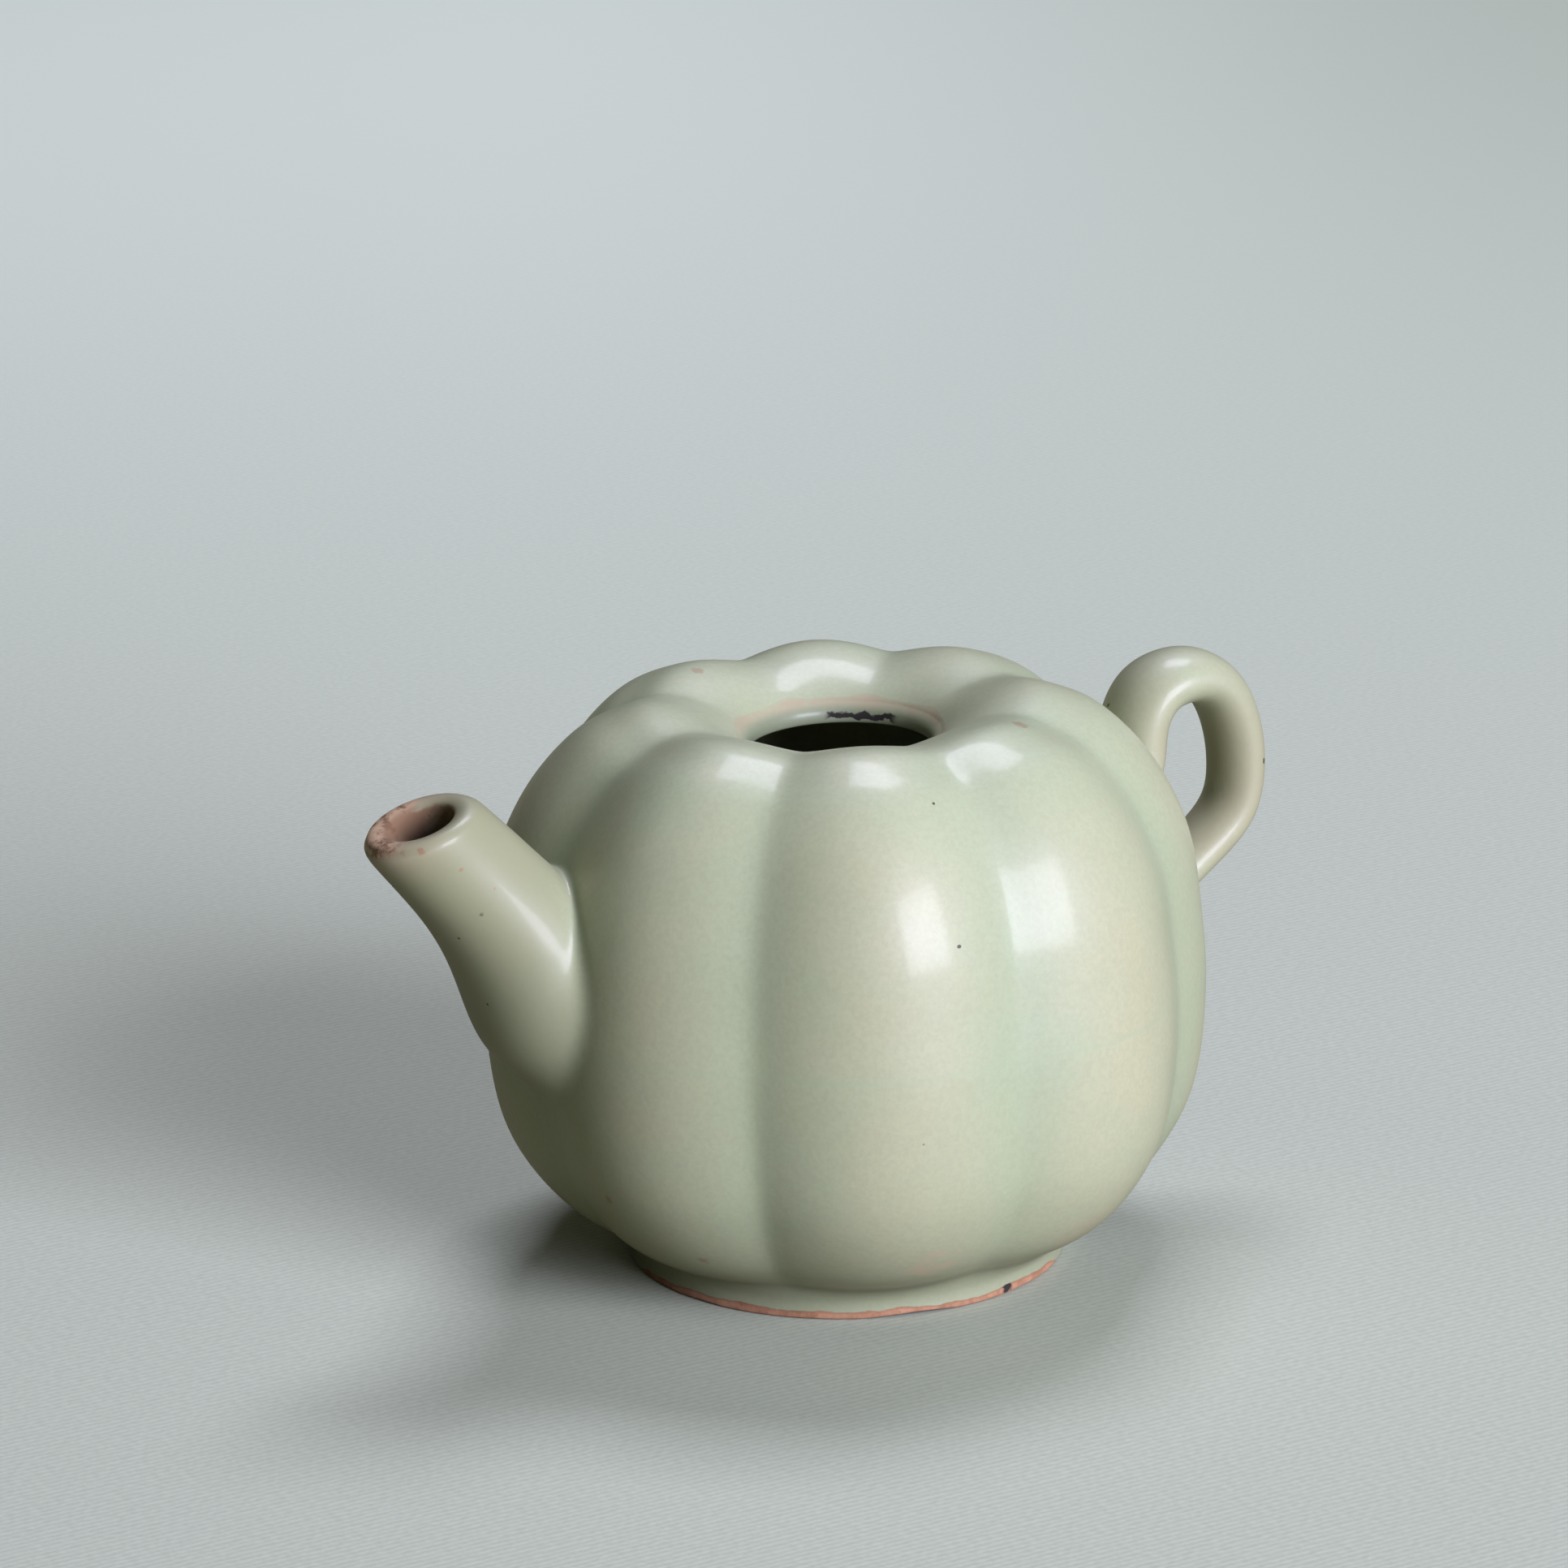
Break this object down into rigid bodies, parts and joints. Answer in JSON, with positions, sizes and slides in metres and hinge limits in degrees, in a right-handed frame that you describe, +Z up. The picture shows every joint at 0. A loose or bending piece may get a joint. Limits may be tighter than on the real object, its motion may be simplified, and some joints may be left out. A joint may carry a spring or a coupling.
{
  "type": "melon-shaped ewer",
  "caption": "Small lobed celadon ewer with a sunken round mouth, an upturned pouring spout, a strap loop handle and a low foot ring.",
  "frame": {"origin": "on the surface that the ewer stands on, under the middle of its bounding box", "axes": "+Z up; the spout points along -X and the handle along +X; the vessel is symmetric about the plane Y = 0"},
  "size_m": [0.146, 0.1006, 0.083],
  "materials": {
    "celadon_glaze": "glossy celadon glaze over pale stoneware",
    "thin_glaze": "thin buff glaze on the rim",
    "fired_slip": "fired slip under the glaze"
  },
  "bodies": {
    "root": {"foot_ring": "celadon_glaze", "lower_body": "celadon_glaze", "upper_body": "celadon_glaze", "seam_bead": "fired_slip", "mouth_rim": "thin_glaze", "spout": "celadon_glaze", "spout_slip": "fired_slip", "handle": "celadon_glaze", "handle_upper_slip": "fired_slip", "handle_lower_slip": "fired_slip"}
  },
  "joints": []
}
